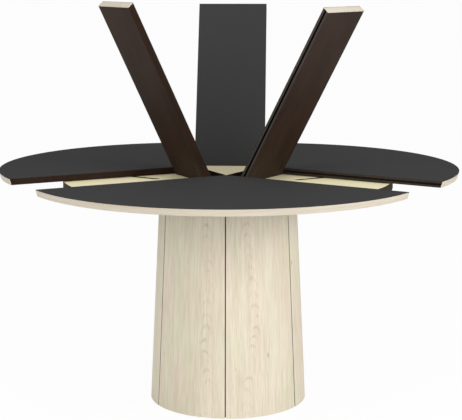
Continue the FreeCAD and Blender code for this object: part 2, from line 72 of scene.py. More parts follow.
def span(node, place):
    """Lowest and highest corner of a solid, seen in a piece's own frame."""
    back = place.inverted()
    own = [back @ point for point in points(node)]
    low, high = (Vector([pick(point[axis] for point in own) for axis in range(3)]) for pick in (min, max))
    return low, high


def frame_of(along, across, origin):
    place = Matrix((along, across, along.cross(across))).transposed().to_4x4()
    place.translation = origin
    return place


print("solids to measure", len(frame["nodes"]))

# %% Frames of the sectors and leaves
SECTORS = ("front", "right", "left")
LEAVES = ("rear", "left", "right")
joints = {joint["name"]: joint for joint in frame["joints"]}


def sector_place(name):
    """Frame with its origin at the tip of a sector and X along its middle."""
    along = Vector(joints["sector_%s_slide" % name]["axis"]).normalized()
    tip = min(point.dot(along) for point in points("sector_%s_laminate" % name))
    return frame_of(along, Vector((0, 0, 1)).cross(along), along * tip)


def leaf_place(name):
    """Frame with its origin on the hinge of a leaf and X up along the leaf."""
    along = Vector(joints["leaf_%s_draw" % name]["axis"]).normalized()
    tilt = joints["leaf_%s_tilt" % name]
    return frame_of(along, -Vector(tilt["axis"]).normalized(), Vector(tilt["pos_m"]))


sector_places = {name: sector_place(name) for name in SECTORS}
leaf_places = {name: leaf_place(name) for name in LEAVES}
for kind, places in (("sector", sector_places), ("leaf", leaf_places)):
    for name, place in places.items():
        print(kind, name, [round(value, 4) for value in place.translation])

# %% [markdown]
# ## Hand tools
# The same few moves come back in every step: clear the selection, take one piece, enter edit mode with
# the right points selected, ease the edges, move the piece to its place. Each is a small function around
# Blender's own operators, so the steps below read as they would be done by hand. An operator acts on all
# that is selected, and loading the frame leaves its solids selected, so the first move is to let go of
# them.

# %% Selecting and edit mode
MERGE_WITHIN = 0.01 * MM


def take(piece):
    """Select this piece alone and make it active, or select nothing."""
    if bpy.context.object and bpy.context.object.mode != "OBJECT":
        bpy.ops.object.mode_set(mode="OBJECT")
    bpy.ops.object.select_all(action="DESELECT")
    if piece:
        piece.select_set(True)
        bpy.context.view_layer.objects.active = piece


def edit(piece):
    """Enter edit mode with every face of this piece selected."""
    take(piece)
    bpy.ops.object.mode_set(mode="EDIT")
    bpy.ops.mesh.select_mode(type="FACE")
    bpy.ops.mesh.select_all(action="SELECT")


def edit_corners(piece, wanted):
    """Enter edit mode with the corner points that pass the test."""
    take(piece)
    bpy.ops.object.mode_set(mode="EDIT")
    bpy.ops.mesh.select_mode(type="VERT")
    bpy.ops.mesh.select_all(action="DESELECT")
    shape = bmesh.from_edit_mesh(piece.data)
    for vertex in shape.verts:
        vertex.select_set(wanted(vertex.co))
    bmesh.update_edit_mesh(piece.data)


def leave_edit(piece):
    """Merge doubles, turn every face outwards and go back to object mode."""
    bpy.ops.mesh.select_all(action="SELECT")
    bpy.ops.mesh.remove_doubles(threshold=MERGE_WITHIN)
    bpy.ops.mesh.normals_make_consistent(inside=False)
    bpy.ops.object.mode_set(mode="OBJECT")
    return piece


take(None)
print("still selected", len(bpy.context.selected_objects))

# %% Eased edges and places
SMOOTH_UP_TO = math.radians(35)
EASE_SEGMENTS = 2


def use_modifier(piece, kind, **settings):
    """Add a modifier, set it and apply it at once."""
    take(piece)
    modifier = piece.modifiers.new(kind.lower(), kind)
    for name, value in settings.items():
        setattr(modifier, name, value)
    bpy.ops.object.modifier_apply(modifier=modifier.name)


def ease(piece, width):
    """Break the sharp edges, as sandpaper does, and shade the rounds softly."""
    take(piece)
    bpy.ops.object.shade_smooth_by_angle(angle=SMOOTH_UP_TO)
    use_modifier(piece, "BEVEL", width=width, segments=EASE_SEGMENTS, limit_method="ANGLE",
                 angle_limit=SMOOTH_UP_TO, harden_normals=True)


def set_in_place(piece, place):
    """Move a piece from its own frame to its place, and apply that to the mesh."""
    piece.matrix_world = place
    take(piece)
    bpy.ops.object.transform_apply(location=True, rotation=True, scale=True)


print("edges sharper than", round(math.degrees(SMOOTH_UP_TO)), "degrees are eased")

# %% [markdown]
# ## Colours and nodes
# Colours are read as sRGB hex values, the way an eyedropper gives them, and shaders want linear light, so
# one function converts. A second one adds a node with its settings and inputs, and every finish is built
# with it. The Mix node has sockets of the same name for each type of data, so those for colour go by
# their numbers.

# %% Colour and node helpers
COLOUR_A, COLOUR_B, COLOUR_OUT = 6, 7, 2


def linear(code):
    """sRGB hex colour as linear RGBA."""
    colour = []
    for start in (1, 3, 5):
        value = int(code[start:start + 2], 16) / 255
        colour.append(value / 12.92 if value <= 0.04045 else ((value + 0.055) / 1.055) ** 2.4)
    return colour + [1.0]


def add(tree, kind, inputs, **settings):
    """Add a node: settings are its own options, inputs are values or the sockets that feed it."""
    node = tree.nodes.new("ShaderNode" + kind)
    for name, value in settings.items():
        setattr(node, name, value)
    for name, value in inputs.items():
        if isinstance(value, bpy.types.NodeSocket):
            tree.links.new(value, node.inputs[name])
        else:
            node.inputs[name].default_value = value
    return node


def new_finish(name):
    finish = bpy.data.materials.new(name)
    finish.use_nodes = True
    finish.node_tree.nodes.clear()
    return finish, finish.node_tree


print("middle grey in linear light", round(linear("#808080")[0], 3))

# %% [markdown]
# ## Pale ash veneer
# The drum, the plate and the middle triangle are faced with bleached ash under matt lacquer, and the rims
# and ends are edged with it. Lacquer dulls the gloss and keeps the timber's own colour. From a step away
# it is nearly one colour: fine fibres, soft streaks, a few pin knots, and one line of faint arches up
# each sheet, where the growth rings are cut at a slant. Most of it is noise drawn out along the fibres,
# at sizes in millimetres along, across and in depth. Fibres are drawn coarser than they are, at 3.5 mm,
# so that they show.

# %% Timber patterns
MM_PER_M = 1000.0
NOISE_LOW, NOISE_HIGH = 0.32, 0.68


def per_metre(sizes_mm):
    """Pattern scale for features of these sizes."""
    return [MM_PER_M / size for size in sizes_mm]


def timber_place(tree, source):
    """Timber coordinates from a piece's own attribute, or Object coordinates where there is none."""
    if source:
        return add(tree, "Attribute", {}, attribute_name=source).outputs["Vector"]
    return add(tree, "TexCoord", {}).outputs["Object"]


def timber_noise(tree, grain, sizes_mm, detail):
    """Noise drawn out along the fibres, stretched to run from 0 to 1."""
    drawn = add(tree, "Mapping", {"Vector": grain, "Scale": per_metre(sizes_mm)})
    noise = add(tree, "TexNoise", {"Vector": drawn.outputs["Vector"], "Scale": 1.0, "Detail": detail})
    stretched = add(tree, "MapRange", {"Value": noise.outputs["Fac"], "From Min": NOISE_LOW,
                                       "From Max": NOISE_HIGH}, interpolation_type="SMOOTHSTEP")
    return stretched.outputs["Result"]


print("noise between", NOISE_LOW, "and", NOISE_HIGH, "is stretched to the full range")

# %% [markdown]
# The arches could be painted by hand on each panel. Here they are a banded Wave, so that they follow any
# sheet: its bands are bowed about a line that wanders along the fibres, noise breaks them into ticks, and
# they fade out to both sides of that line.

# %% Arches of the growth rings
WAVE_PERIOD = math.pi / 10
ARCH_STEP = 34 * MM
ARCH_CREST = 4 * MM
ARCH_FOOT = 24 * MM
ARCH_BOW = 60
ARCH_WANDER = 30 * MM
WANDER_MM = 260
TICK_MM = (40, 8, 8)
TICK_GROUP_MM = (110, 60, 60)


def ash_arches(tree, grain):
    parts = add(tree, "SeparateXYZ", {"Vector": grain})
    along = parts.outputs["X"]
    drift = add(tree, "TexNoise", {"W": along, "Scale": MM_PER_M / WANDER_MM, "Detail": 1.0},
                noise_dimensions="1D")
    line = add(tree, "MapRange", {"Value": drift.outputs["Fac"], "To Min": -ARCH_WANDER,
                                  "To Max": ARCH_WANDER})
    beside = add(tree, "Math", {0: parts.outputs["Y"], 1: line.outputs["Result"]}, operation="SUBTRACT")
    square = add(tree, "Math", {0: beside.outputs["Value"], 1: 2.0}, operation="POWER").outputs["Value"]
    bowed = add(tree, "Math", {0: square, 1: ARCH_BOW, 2: along}, operation="MULTIPLY_ADD")
    crests = add(tree, "CombineXYZ", {"X": bowed.outputs["Value"]})
    bands = add(tree, "TexWave", {"Vector": crests.outputs["Vector"], "Scale": WAVE_PERIOD / ARCH_STEP,
                                  "Distortion": 7.0, "Detail": 2.0, "Detail Scale": 0.5}, wave_type="BANDS")
    late = add(tree, "MapRange", {"Value": bands.outputs["Fac"], "From Min": 0.6, "From Max": 1.0},
               interpolation_type="SMOOTHSTEP")
    near = add(tree, "MapRange", {"Value": square, "From Min": ARCH_CREST ** 2, "From Max": ARCH_FOOT ** 2,
                                  "To Min": 1.0, "To Max": 0.0}, interpolation_type="SMOOTHSTEP")
    ticks = timber_noise(tree, grain, TICK_MM, 2.0)
    groups = timber_noise(tree, grain, TICK_GROUP_MM, 1.0)
    broken = add(tree, "Math", {0: ticks, 1: groups}, operation="MULTIPLY")
    arches = add(tree, "Math", {0: late.outputs["Result"], 1: near.outputs["Result"]}, operation="MULTIPLY")
    return add(tree, "Math", {0: arches.outputs["Value"], 1: broken.outputs["Value"]}, operation="MULTIPLY")


print("an arch every", round(ARCH_STEP / MM), "mm")

# %% Pale ash
RESIN_IOR = 1.5  # lacquer, laminate and sealer are all resins
FIBRE_MM, STREAK_MM, CLOUD_MM = (160, 3.5, 3.5), (500, 14, 14), (420, 130, 130)
FIBRE_SHARE, STREAK_SHARE, CLOUD_SHARE, ARCH_SHARE = 0.28, 0.18, 0.14, 0.42
TINT_MM = (260, 90, 90)
KNOT_MM = (170, 85, 85)
KNOT_SHARE = 0.5


def pale_ash(name, rosy, straw, dark, grain_source):
    """Ash between a rosy and a straw tint, with darker figure."""
    finish, tree = new_finish(name)
    grain = timber_place(tree, grain_source)
    fibres = timber_noise(tree, grain, FIBRE_MM, 3.0)
    streaks = timber_noise(tree, grain, STREAK_MM, 2.0)
    cloud = timber_noise(tree, grain, CLOUD_MM, 1.0)
    arches = ash_arches(tree, grain)
    figure = add(tree, "CombineXYZ", {"X": fibres, "Y": streaks, "Z": cloud})
    shares = (FIBRE_SHARE, STREAK_SHARE, CLOUD_SHARE)
    plain = add(tree, "VectorMath", {0: figure.outputs["Vector"], 1: shares}, operation="DOT_PRODUCT")
    share = add(tree, "Math", {0: arches.outputs["Value"], 1: ARCH_SHARE, 2: plain.outputs["Value"]},
                operation="MULTIPLY_ADD")
    tint = timber_noise(tree, grain, TINT_MM, 1.0)
    light = add(tree, "Mix", {"Factor": tint, COLOUR_A: linear(rosy), COLOUR_B: linear(straw)},
                data_type="RGBA")
    timber = add(tree, "Mix", {"Factor": share.outputs["Value"], COLOUR_A: light.outputs[COLOUR_OUT],
                               COLOUR_B: linear(dark)}, data_type="RGBA")
    cells = add(tree, "Mapping", {"Vector": grain, "Scale": per_metre(KNOT_MM)})
    knots = add(tree, "TexVoronoi", {"Vector": cells.outputs["Vector"], "Scale": 1.0})
    spot = add(tree, "MapRange", {"Value": knots.outputs["Distance"], "From Min": 0.02, "From Max": 0.08,
                                  "To Min": KNOT_SHARE, "To Max": 0.0}, interpolation_type="SMOOTHSTEP")
    colour = add(tree, "Mix", {"Factor": spot.outputs["Result"], COLOUR_A: timber.outputs[COLOUR_OUT],
                               COLOUR_B: linear("#a8937a")}, data_type="RGBA")
    rough = add(tree, "MapRange", {"Value": fibres, "To Min": 0.52, "To Max": 0.64})
    bump = add(tree, "Bump", {"Height": fibres, "Strength": 0.15, "Distance": 0.1 * MM})
    surface = add(tree, "BsdfPrincipled", {
        "Base Color": colour.outputs[COLOUR_OUT], "Roughness": rough.outputs["Result"], "IOR": RESIN_IOR,
        "Specular IOR Level": 0.25, "Normal": bump.outputs["Normal"]})
    add(tree, "OutputMaterial", {"Surface": surface.outputs["BSDF"]})
    return finish


veneer = pale_ash("bleached_ash_veneer", "#ebdfce", "#e7e3cc", "#c2b195", "grain")
edging = pale_ash("bleached_ash_edging", "#d1c7b9", "#cfc8b7", "#b5a893", "grain")
# The plate's copy of the ash is lighter than the drum's: painted light that offsets the shade under the leaning
# leaves.
plate_veneer = pale_ash("painted_light_plate_ash", "#fdf5d2", "#faf4ca", "#e9dca6", None)
triangle_veneer = pale_ash("bleached_ash_triangle", "#e9dfc2", "#e6dfba", "#cfc090", "grain")
print("ash finishes", *[made.name for made in (veneer, edging, plate_veneer, triangle_veneer)])

# %% [markdown]
# ## Black laminate
# The faces of the sectors and leaves are a super-matt charcoal laminate. It was pressed against a
# textured plate, so it scatters light and shows hardly any gloss, even at a low angle. One flat grey
# would look like paint, so a very fine pebble, drawn at 2 mm to show at all, varies its colour, roughness
# and bump a little.

# %% Charcoal laminate
PEBBLE_MM = 2.0


def charcoal_laminate():
    finish, tree = new_finish("charcoal_laminate")
    place = timber_place(tree, "grain")
    pebble = add(tree, "TexNoise", {"Vector": place, "Scale": MM_PER_M / PEBBLE_MM, "Detail": 3.0})
    height = pebble.outputs["Fac"]
    colour = add(tree, "Mix", {"Factor": height, COLOUR_A: linear("#373737"), COLOUR_B: linear("#3d3d3d")},
                 data_type="RGBA")
    rough = add(tree, "MapRange", {"Value": height, "To Min": 0.72, "To Max": 0.86})
    bump = add(tree, "Bump", {"Height": height, "Strength": 0.2, "Distance": 0.08 * MM})
    surface = add(tree, "BsdfPrincipled", {
        "Base Color": colour.outputs[COLOUR_OUT], "Roughness": rough.outputs["Result"], "IOR": RESIN_IOR,
        "Specular IOR Level": 0.02, "Normal": bump.outputs["Normal"]})
    add(tree, "OutputMaterial", {"Surface": surface.outputs["BSDF"]})
    return finish


laminate = charcoal_laminate()
print("laminate", laminate.name)

# %% [markdown]
# ## Dark brown board
# The undersides and edges are stained board, a dark walnut brown with soft streaks along its length.
# Grooves and the plain edges are painted nearly black, as painted shade; the strips beside a groove are
# painted greyer, as a painted sheen, and on the sectors darker, as painted shade; the sealed edges of the
# drum's panels are a dull grey brown. One function makes these finishes, on stored timber coordinates
# for new pieces and on Object coordinates for solids of the frame that stay as they are.

# %% Stained board
BOARD_STREAK_MM, BOARD_CLOUD_MM = (180, 6, 6), (160, 110, 110)
BOARD_CLOUD_SHARE = 0.4


def stained_board(name, grain_source, low, high):
    finish, tree = new_finish(name)
    grain = timber_place(tree, grain_source)
    streaks = timber_noise(tree, grain, BOARD_STREAK_MM, 4.0)
    cloud = timber_noise(tree, grain, BOARD_CLOUD_MM, 1.0)
    share = add(tree, "Mix", {"Factor": BOARD_CLOUD_SHARE, "A": streaks, "B": cloud})
    colour = add(tree, "Mix", {"Factor": share.outputs["Result"], COLOUR_A: linear(low),
                               COLOUR_B: linear(high)}, data_type="RGBA")
    rough = add(tree, "MapRange", {"Value": streaks, "To Min": 0.55, "To Max": 0.68})
    bump = add(tree, "Bump", {"Height": streaks, "Strength": 0.15, "Distance": 0.08 * MM})
    surface = add(tree, "BsdfPrincipled", {
        "Base Color": colour.outputs[COLOUR_OUT], "Roughness": rough.outputs["Result"], "IOR": RESIN_IOR,
        "Specular IOR Level": 0.05, "Normal": bump.outputs["Normal"]})
    add(tree, "OutputMaterial", {"Surface": surface.outputs["BSDF"]})
    return finish


board = stained_board("walnut_stained_board", "grain", "#2c2119", "#3a2c25")
# The strips beside a leaf's groove are a lighter grey: a painted sheen.
leaf_strip = stained_board("painted_sheen_leaf_strip", "grain", "#3a3531", "#48423d")
# On the sectors the same strips are darker: painted sheen with painted shade from the leaves.
sector_strip = stained_board("painted_sheen_shade_sector_strip", "grain", "#2f2a26", "#3c3631")
# Plain edges, the sectors' grooves and the triangle's board get this darker brown: painted shade.
shade_dark_edge = stained_board("painted_shade_edge", "grain", "#21170f", "#2f2017")
# The inner faces of a leaf's groove are near black: painted shade of the recess.
groove = stained_board("painted_shade_groove", "grain", "#0d0806", "#150e0a")
panel_edge = stained_board("sealed_panel_edge", "grain", "#6a6155", "#7b7164")
plate_board = stained_board("walnut_stained_plate", None, "#2c2119", "#3a2c25")
core = stained_board("dark_plywood_core", None, "#2a2622", "#3a352f")
boards = (board, leaf_strip, sector_strip, shade_dark_edge, groove, panel_edge, plate_board, core)
print("boards", *[made.name for made in boards])

# %% [markdown]
# ## Hardware finishes
# Below the top there are zinc-plated screws, rods and races, black powder-coated brackets, bronze
# anodised channels and natural nylon pins. One function covers them: they differ in colour, metallic
# value and roughness, and all have a fine mottle from their making. Zinc mirrors the room softly, powder
# coat scatters it, anodising keeps a dull sheen of metal, and nylon is a milky white.

# %% Hardware
GLOSS_SPREAD = 0.08


def hardware_finish(name, low, high, metallic, roughness, grit_mm):
    finish, tree = new_finish(name)
    place = add(tree, "TexCoord", {}).outputs["Object"]
    mottle = add(tree, "TexNoise", {"Vector": place, "Scale": MM_PER_M / grit_mm, "Detail": 3.0})
    grit = mottle.outputs["Fac"]
    colour = add(tree, "Mix", {"Factor": grit, COLOUR_A: linear(low), COLOUR_B: linear(high)},
                 data_type="RGBA")
    rough = add(tree, "MapRange", {"Value": grit, "From Min": 0.2, "From Max": 0.8,
                                   "To Min": roughness - GLOSS_SPREAD, "To Max": roughness + GLOSS_SPREAD})
    bump = add(tree, "Bump", {"Height": grit, "Strength": 0.15, "Distance": 0.05 * MM})
    surface = add(tree, "BsdfPrincipled", {
        "Base Color": colour.outputs[COLOUR_OUT], "Roughness": rough.outputs["Result"],
        "Metallic": metallic, "Normal": bump.outputs["Normal"]})
    add(tree, "OutputMaterial", {"Surface": surface.outputs["BSDF"]})
    return finish


zinc = hardware_finish("zinc_plated_steel", "#a9acae", "#c6c8ca", 1.0, 0.34, 3.0)
powder = hardware_finish("black_powder_coat", "#141414", "#222222", 0.0, 0.55, 1.2)
bronze = hardware_finish("bronze_anodised_channel", "#2e231b", "#3b2d23", 0.5, 0.5, 2.0)
nylon = hardware_finish("natural_nylon", "#d6d2c4", "#e2dfd4", 0.0, 0.45, 2.5)
print("hardware", *[made.name for made in (zinc, powder, bronze, nylon)])

# %% [markdown]
# Every solid of the frame gets the finish of its slot in the record. Those that no new piece replaces,
# such as the plate, the bearing and the screws, keep it.

# %% Dressing the frame
slot_finishes = {"pale_veneer": plate_veneer, "pale_edging": edging, "drum_core": core,
                 "brown_board": plate_board, "black_laminate": laminate, "bright_steel": zinc,
                 "black_steel": powder, "bronze_channel": bronze, "nylon": nylon}
for row in frame["record"]["subparts"]:
    solid = frame["nodes"][row["node"]]
    solid.data.materials.clear()
    solid.data.materials.append(slot_finishes[row["material_slot"]])

# %% [markdown]
# ## Sectors of the top
# Each sector is a third of a round board: brown core, black sheet on its face, pale edging round its rim,
# and a groove along one cut edge. The rim leans in towards the underside. The board could be cut from a
# disc with a knife; two bisect cuts through the tip do the same. We model one sector in its own frame and
# copy it.

# %% One sector: black sheet
HALF_SPREAD = math.radians(60)
ARC_STEPS = 288
SHEET_EASED = 0.3 * MM
front = sector_places["front"]
sheet_low, sheet_high = span("sector_front_laminate", front)
edge_normals = [Vector((-math.sin(HALF_SPREAD), side * math.cos(HALF_SPREAD), 0)) for side in (-1, 1)]


def sector_slab(name, radius, bottom, top):
    """A disc cut to a third by two bisects through its middle, then extruded to its thickness."""
    take(None)
    bpy.ops.mesh.primitive_circle_add(vertices=ARC_STEPS, radius=radius, fill_type="NGON",
                                      location=(0, 0, bottom))
    piece = bpy.context.object
    piece.name = name
    bpy.ops.object.transform_apply(location=True, rotation=True, scale=True)
    for away in reversed(edge_normals):
        edit(piece)
        bpy.ops.mesh.bisect(plane_co=(0, 0, bottom), plane_no=away, clear_outer=True)
        bpy.ops.object.mode_set(mode="OBJECT")
    edit(piece)
    bpy.ops.mesh.extrude_region_move(TRANSFORM_OT_translate={"value": (0, 0, top - bottom)})
    return leave_edit(piece)


sector_sheet = sector_slab("sector_sheet", sheet_high.x, sheet_low.z, sheet_high.z)
ease(sector_sheet, SHEET_EASED)
print("sector radius", round(sheet_high.x, 4))

# %% [markdown]
# The brown board is cut in the same way. Its lower arc is then drawn in about the tip for the lean of the
# rim, which leaves the cut edges straight, and a router runs along the edge on the side of -Y. A groove
# could be inset and pushed in by hand, but a cutter that is taken away runs out cleanly at both ends.

# %% Router cuts
GROOVE_WIDTH = 6 * MM
GROOVE_DEPTH = 6 * MM
OVERRUN = 5 * MM


def block(name, low, high):
    """A cube primitive brought to its size and place, with both applied to the mesh."""
    take(None)
    low, high = Vector(low), Vector(high)
    bpy.ops.mesh.primitive_cube_add(size=1, location=(low + high) / 2, scale=high - low)
    piece = bpy.context.object
    piece.name = name
    bpy.ops.object.transform_apply(location=True, rotation=True, scale=True)
    return piece


def rout(piece, cutters):
    """Cut grooves and seats as a router does: each cutter is taken away from the piece, then deleted."""
    for cutter in cutters:
        use_modifier(piece, "BOOLEAN", operation="DIFFERENCE", solver="EXACT", object=cutter)
        bpy.data.meshes.remove(cutter.data)


print("groove", round(GROOVE_WIDTH / MM), "mm wide and", round(GROOVE_DEPTH / MM), "mm deep")

# %% One sector: brown board
EASED = 0.5 * MM
board_low, board_high = span("sector_front_board", front)
rim_low, rim_high = span("sector_front_rim", front)
EDGE_TAPER = board_high.x - rim_low.x / math.cos(HALF_SPREAD)
groove_level = (board_low.z + board_high.z) / 2
sector_board = sector_slab("sector_board", board_high.x, board_low.z, board_high.z)
edit_corners(sector_board, lambda point: point.z < groove_level and point.length > board_high.x / 2)
draw_in = 1 - EDGE_TAPER / board_high.x
bpy.ops.transform.resize(value=(draw_in, draw_in, 1), center_override=(0, 0, board_low.z))
leave_edit(sector_board)
edge_bar = block("router", (-OVERRUN, -GROOVE_DEPTH, groove_level - GROOVE_WIDTH / 2),
                 (sheet_high.x + OVERRUN, GROOVE_DEPTH, groove_level + GROOVE_WIDTH / 2))
set_in_place(edge_bar, Matrix.Rotation(-HALF_SPREAD, 4, "Z"))
rout(sector_board, [edge_bar])
ease(sector_board, EASED)
print("taper of the rim", round(EDGE_TAPER / MM, 2), "mm")

# %% [markdown]
# The cut edges get painted light and shade. Faces are picked by where they are and where they look, and get
# their own finish from the piece's list: a painted sheen on the strips beside the groove, painted shade in
# the groove itself and on the plain edge opposite.

# %% Finishes of the edges
# Finish numbers: 1 painted sheen on the strips, 2 painted shade in the groove, 3 painted shade on the plain edge.
STRIP_FINISH, GROOVE_FINISH, PLAIN_FINISH = 1, 2, 3
FACING = 0.9


def finish_edges(piece, grooved, plain, level):
    """Sort the faces of a board's edges, given the normals of both edges and the level of the groove."""
    edge = max(vertex.co.dot(grooved) for vertex in piece.data.vertices)
    for face in piece.data.polygons:
        depth = edge - face.center.dot(grooved)
        if EASED < depth < GROOVE_DEPTH + EASED and abs(face.center.z - level) < GROOVE_WIDTH:
            face.material_index = GROOVE_FINISH
        elif face.normal.dot(plain) > FACING:
            face.material_index = PLAIN_FINISH
        elif depth < EASED and face.normal.dot(grooved) > FACING:
            face.material_index = STRIP_FINISH


finish_edges(sector_board, *edge_normals, groove_level)
print("faces with an edge finish", sum(face.material_index > 0 for face in sector_board.data.polygons))

# %% [markdown]
# The edging is a thin band bent round the sector. We draw its section once, as a plane that stands on
# edge with its lower end drawn in for the lean, and spin that section through the sector's angle.

# %% One sector: pale rim
RIM_STEPS = 96


def section(name, x_range, z_range):
    """A plane primitive stood on edge, as the section that a spin then carries round the Z axis."""
    take(None)
    bpy.ops.mesh.primitive_plane_add(size=1, rotation=(math.pi / 2, 0, 0),
                                     location=(sum(x_range) / 2, 0, sum(z_range) / 2))
    piece = bpy.context.object
    piece.name = name
    piece.scale = (x_range[1] - x_range[0], z_range[1] - z_range[0], 1)
    bpy.ops.object.transform_apply(location=True, rotation=True, scale=True)
    return piece


def spin_section(piece, sweep, steps):
    """Carry a section round the Z axis, evenly to both sides of X. A positive angle spins clockwise."""
    set_in_place(piece, Matrix.Rotation(sweep / 2, 4, "Z"))
    edit(piece)
    bpy.ops.mesh.spin(steps=steps, angle=sweep, center=(0, 0, 0), axis=(0, 0, 1))
    return leave_edit(piece)


rim_band = section("sector_rim", (board_high.x, rim_high.x), (rim_low.z, rim_high.z))
edit_corners(rim_band, lambda point: point.z < groove_level)
bpy.ops.transform.translate(value=(-EDGE_TAPER, 0, 0))
leave_edit(rim_band)
spin_section(rim_band, 2 * HALF_SPREAD, RIM_STEPS)
ease(rim_band, EASED)
print("rim spans", [round(value, 3) for value in rim_band.dimensions])

# %% [markdown]
# Before the copies are set in place, each gets its timber coordinates. On the flat boards the fibres run
# along X; on the rim they follow the bend, so the first value is the length of the arc. Each copy takes
# its timber from another place, so that no two look the same. It then rides on its body and stands for
# its solid.

# %% Copies and their timber
TIMBER_STEP = 3.7


def copy_of(piece, name):
    twin = piece.copy()
    twin.data = piece.data.copy()
    twin.name = name
    bpy.context.scene.collection.objects.link(twin)
    return twin


def lay_grain(piece, lay, shift):
    """Store where each point lies in the timber, in metres: along the fibres, across them and in depth."""
    grain = piece.data.attributes.new("grain", "FLOAT_VECTOR", "POINT")
    for vertex, entry in zip(piece.data.vertices, grain.data):
        entry.vector = Vector(lay(vertex.co)) + Vector(shift)


def fit(piece, finishes, body, node):
    """Give a new piece its finishes, and let it ride and stand for its solid."""
    for finish in finishes:
        piece.data.materials.append(finish)
    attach(piece, body)
    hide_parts(node)


print("each copy lies", TIMBER_STEP, "m further along in the timber")

# %% Three sectors


def along_arc(point):
    return (math.atan2(point.y, point.x) * rim_high.x, point.z, math.hypot(point.x, point.y))


sector_finishes = (board, sector_strip, shade_dark_edge, shade_dark_edge)
sector_pieces = (("laminate", sector_sheet, [laminate], "black_laminate", tuple),
                 ("board", sector_board, sector_finishes, "brown_board", tuple),
                 ("rim", rim_band, [edging], "pale_edging", along_arc))
for part, model, finishes, slot, lay in sector_pieces:
    for number, name in enumerate(SECTORS):
        piece = copy_of(model, "top_%s_%s" % (name, part))
        lay_grain(piece, lay, (TIMBER_STEP * number, 0, 0))
        set_in_place(piece, sector_places[name])
        fit(piece, finishes, "sector_" + name, "sector_%s_%s" % (name, part))
    bpy.data.meshes.remove(model.data)
print("sector pieces", len(sector_pieces) * len(SECTORS))

# %% [markdown]
# ## Leaves
# A leaf is a plain board of the same make: black sheet on its face, pale edging on its outer end, which
# leans in like the rim, a groove in one long edge, and two seats in its underside for the channels that
# slide on the cradle. The solid itself could be bevelled, but its loose triangles would have to be
# cleaned first, so blocks, router cuts and eased edges make it anew.

# %% One leaf: black sheet and pale end
rear = leaf_places["rear"]


def lean_end(piece, wanted):
    """Draw in the lower corners that pass the test, for the lean of the outer end."""
    heights = [corner[2] for corner in piece.bound_box]
    middle = sum(heights) / len(heights)
    edit_corners(piece, lambda point: point.z < middle and wanted(point.x))
    bpy.ops.transform.translate(value=(-EDGE_TAPER, 0, 0))
    return leave_edit(piece)


low, high = span("leaf_rear_laminate", rear)
leaf_sheet = block("leaf_laminate", low, high)
ease(leaf_sheet, SHEET_EASED)
leaf_end = high.x
low, high = span("leaf_rear_board", rear)
leaf_band = block("leaf_end_band", (high.x, low.y, low.z), (leaf_end, high.y, high.z))
ease(lean_end(leaf_band, lambda x: True), EASED)
print("leaf sheet", [round(value, 4) for value in leaf_sheet.dimensions])

# %% One leaf: brown board
CHANNEL_WIDTH = 12 * MM
leaf_board = lean_end(block("leaf_board", low, high), lambda x: x > high.x / 2)
rail_low, rail_high = span("leaf_rear_rails", rear)
leaf_level = (low.z + high.z) / 2
cutters = [block("router", (low.x - OVERRUN, low.y - GROOVE_DEPTH, leaf_level - GROOVE_WIDTH / 2),
                 (high.x + OVERRUN, low.y + GROOVE_DEPTH, leaf_level + GROOVE_WIDTH / 2))]
for edge in (rail_low.y, rail_high.y - CHANNEL_WIDTH):
    cutters.append(block("router", (low.x - OVERRUN, edge, low.z - OVERRUN),
                         (rail_high.x, edge + CHANNEL_WIDTH, rail_high.z)))
rout(leaf_board, cutters)
ease(leaf_board, EASED)
finish_edges(leaf_board, Vector((0, -1, 0)), Vector((0, 1, 0)), leaf_level)
print("leaf board", [round(value, 4) for value in leaf_board.dimensions])

# %% Three leaves
LEAF_TIMBER = 5


def across_end(point):
    return (point.y, point.z, point.x)


leaf_finishes = (board, leaf_strip, groove, shade_dark_edge)
leaf_pieces = (("laminate", leaf_sheet, [laminate], "black_laminate", tuple),
               ("board", leaf_board, leaf_finishes, "brown_board", tuple),
               ("end_band", leaf_band, [edging], "pale_edging", across_end))
for part, model, finishes, slot, lay in leaf_pieces:
    for number, name in enumerate(LEAVES, LEAF_TIMBER):
        piece = copy_of(model, "flap_%s_%s" % (name, part))
        lay_grain(piece, lay, (TIMBER_STEP * number, 0, 0))
        set_in_place(piece, leaf_places[name])
        fit(piece, finishes, "leaf_" + name, "leaf_%s_%s" % (name, part))
    bpy.data.meshes.remove(model.data)
print("leaf pieces", len(leaf_pieces) * len(LEAVES))

# %% [markdown]
# ## Middle triangle
# The triangle is a circle of three corners: the simplest primitive with the right outline. Turned half
# round, its corners point at the tips of the sectors. The pale face is a thin sheet on a brown board.

# %% Triangle
TRIANGLE_TIMBER = 9
triangle_reach = max(math.hypot(point.x, point.y) for point in points("centre_veneer"))


def triangle_slab(node, edge):
    low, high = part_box(node)
    take(None)
    bpy.ops.mesh.primitive_circle_add(vertices=3, radius=triangle_reach, fill_type="NGON",
                                      location=(0, 0, low.z), rotation=(0, 0, math.pi))
    piece = bpy.context.object
    piece.name = node.replace("centre", "triangle")
    bpy.ops.object.transform_apply(location=True, rotation=True, scale=True)
    edit(piece)
    bpy.ops.mesh.extrude_region_move(TRANSFORM_OT_translate={"value": (0, 0, high.z - low.z)})
    leave_edit(piece)
    ease(piece, edge)
    return piece


# The triangle's board takes the darker edge brown: painted shade beneath its pale sheet.
for node, finish, slot, edge in (("centre_veneer", triangle_veneer, "pale_veneer", SHEET_EASED),
                                 ("centre_board", shade_dark_edge, "brown_board", EASED)):
    piece = triangle_slab(node, edge)
    lay_grain(piece, tuple, (TIMBER_STEP * TRIANGLE_TIMBER, 0, 0))
    fit(piece, [finish], "centre", node)
print("triangle reach", round(triangle_reach, 4))

